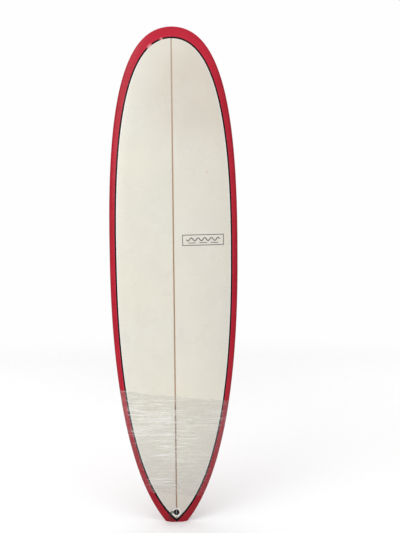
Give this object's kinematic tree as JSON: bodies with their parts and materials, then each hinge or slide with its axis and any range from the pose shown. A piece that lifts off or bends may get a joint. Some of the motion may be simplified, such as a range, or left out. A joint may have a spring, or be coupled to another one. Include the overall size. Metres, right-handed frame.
{
  "type": "surfboard",
  "caption": "Mini-malibu surfboard with wrapped rails, a stringer, a leash cup with its string, fins that lift out of their boxes, and packing film round the tail.",
  "frame": {"origin": "centre of the flat end of the tail", "axes": "+Z from the tail to the nose, -Y out of the deck, +Y out of the bottom (the fins' side), +X to the right of a person who faces the deck"},
  "size_m": [0.5716, 0.209, 2.184],
  "materials": {
    "foam": "matte",
    "wood": "satin",
    "cream_skin": "gloss",
    "red_skin": "gloss",
    "black_line": "gloss",
    "print": "satin",
    "black_plastic": "satin",
    "steel": "satin",
    "string": "matte",
    "fin": "gloss",
    "film": "gloss"
  },
  "bodies": {
    "board": {"blank_left": "foam", "blank_right": "foam", "stringer": "wood", "deck_laminate": "cream_skin", "bottom_laminate": "red_skin", "deck_pinline": "black_line", "deck_emblem": "print", "stretch_wrap_upper": "film", "stretch_wrap_lower": "film", "leash_cup": "black_plastic", "leash_pin": "steel", "leash_string": "string", "leash_knot": "string", "fin_box_left": "black_plastic", "fin_screw_left_front": "steel", "fin_screw_left_rear": "steel", "fin_box_right": "black_plastic", "fin_screw_right_front": "steel", "fin_screw_right_rear": "steel", "fin_box_centre": "black_plastic", "fin_screw_centre_front": "steel", "fin_screw_centre_rear": "steel"},
    "left_fin": {"fin_left": "fin"},
    "right_fin": {"fin_right": "fin"},
    "centre_fin": {"fin_centre": "fin"}
  },
  "joints": [
    {"name": "left_fin_lift", "type": "slide", "parent": "board", "child": "left_fin", "axis": [0, 0.9977, -0.0682], "range_m": [0, 0.03]},
    {"name": "right_fin_lift", "type": "slide", "parent": "board", "child": "right_fin", "axis": [0, 0.9977, -0.0682], "range_m": [0, 0.03]},
    {"name": "centre_fin_lift", "type": "slide", "parent": "board", "child": "centre_fin", "axis": [0, 0.9955, -0.0942], "range_m": [0, 0.03]}
  ]
}
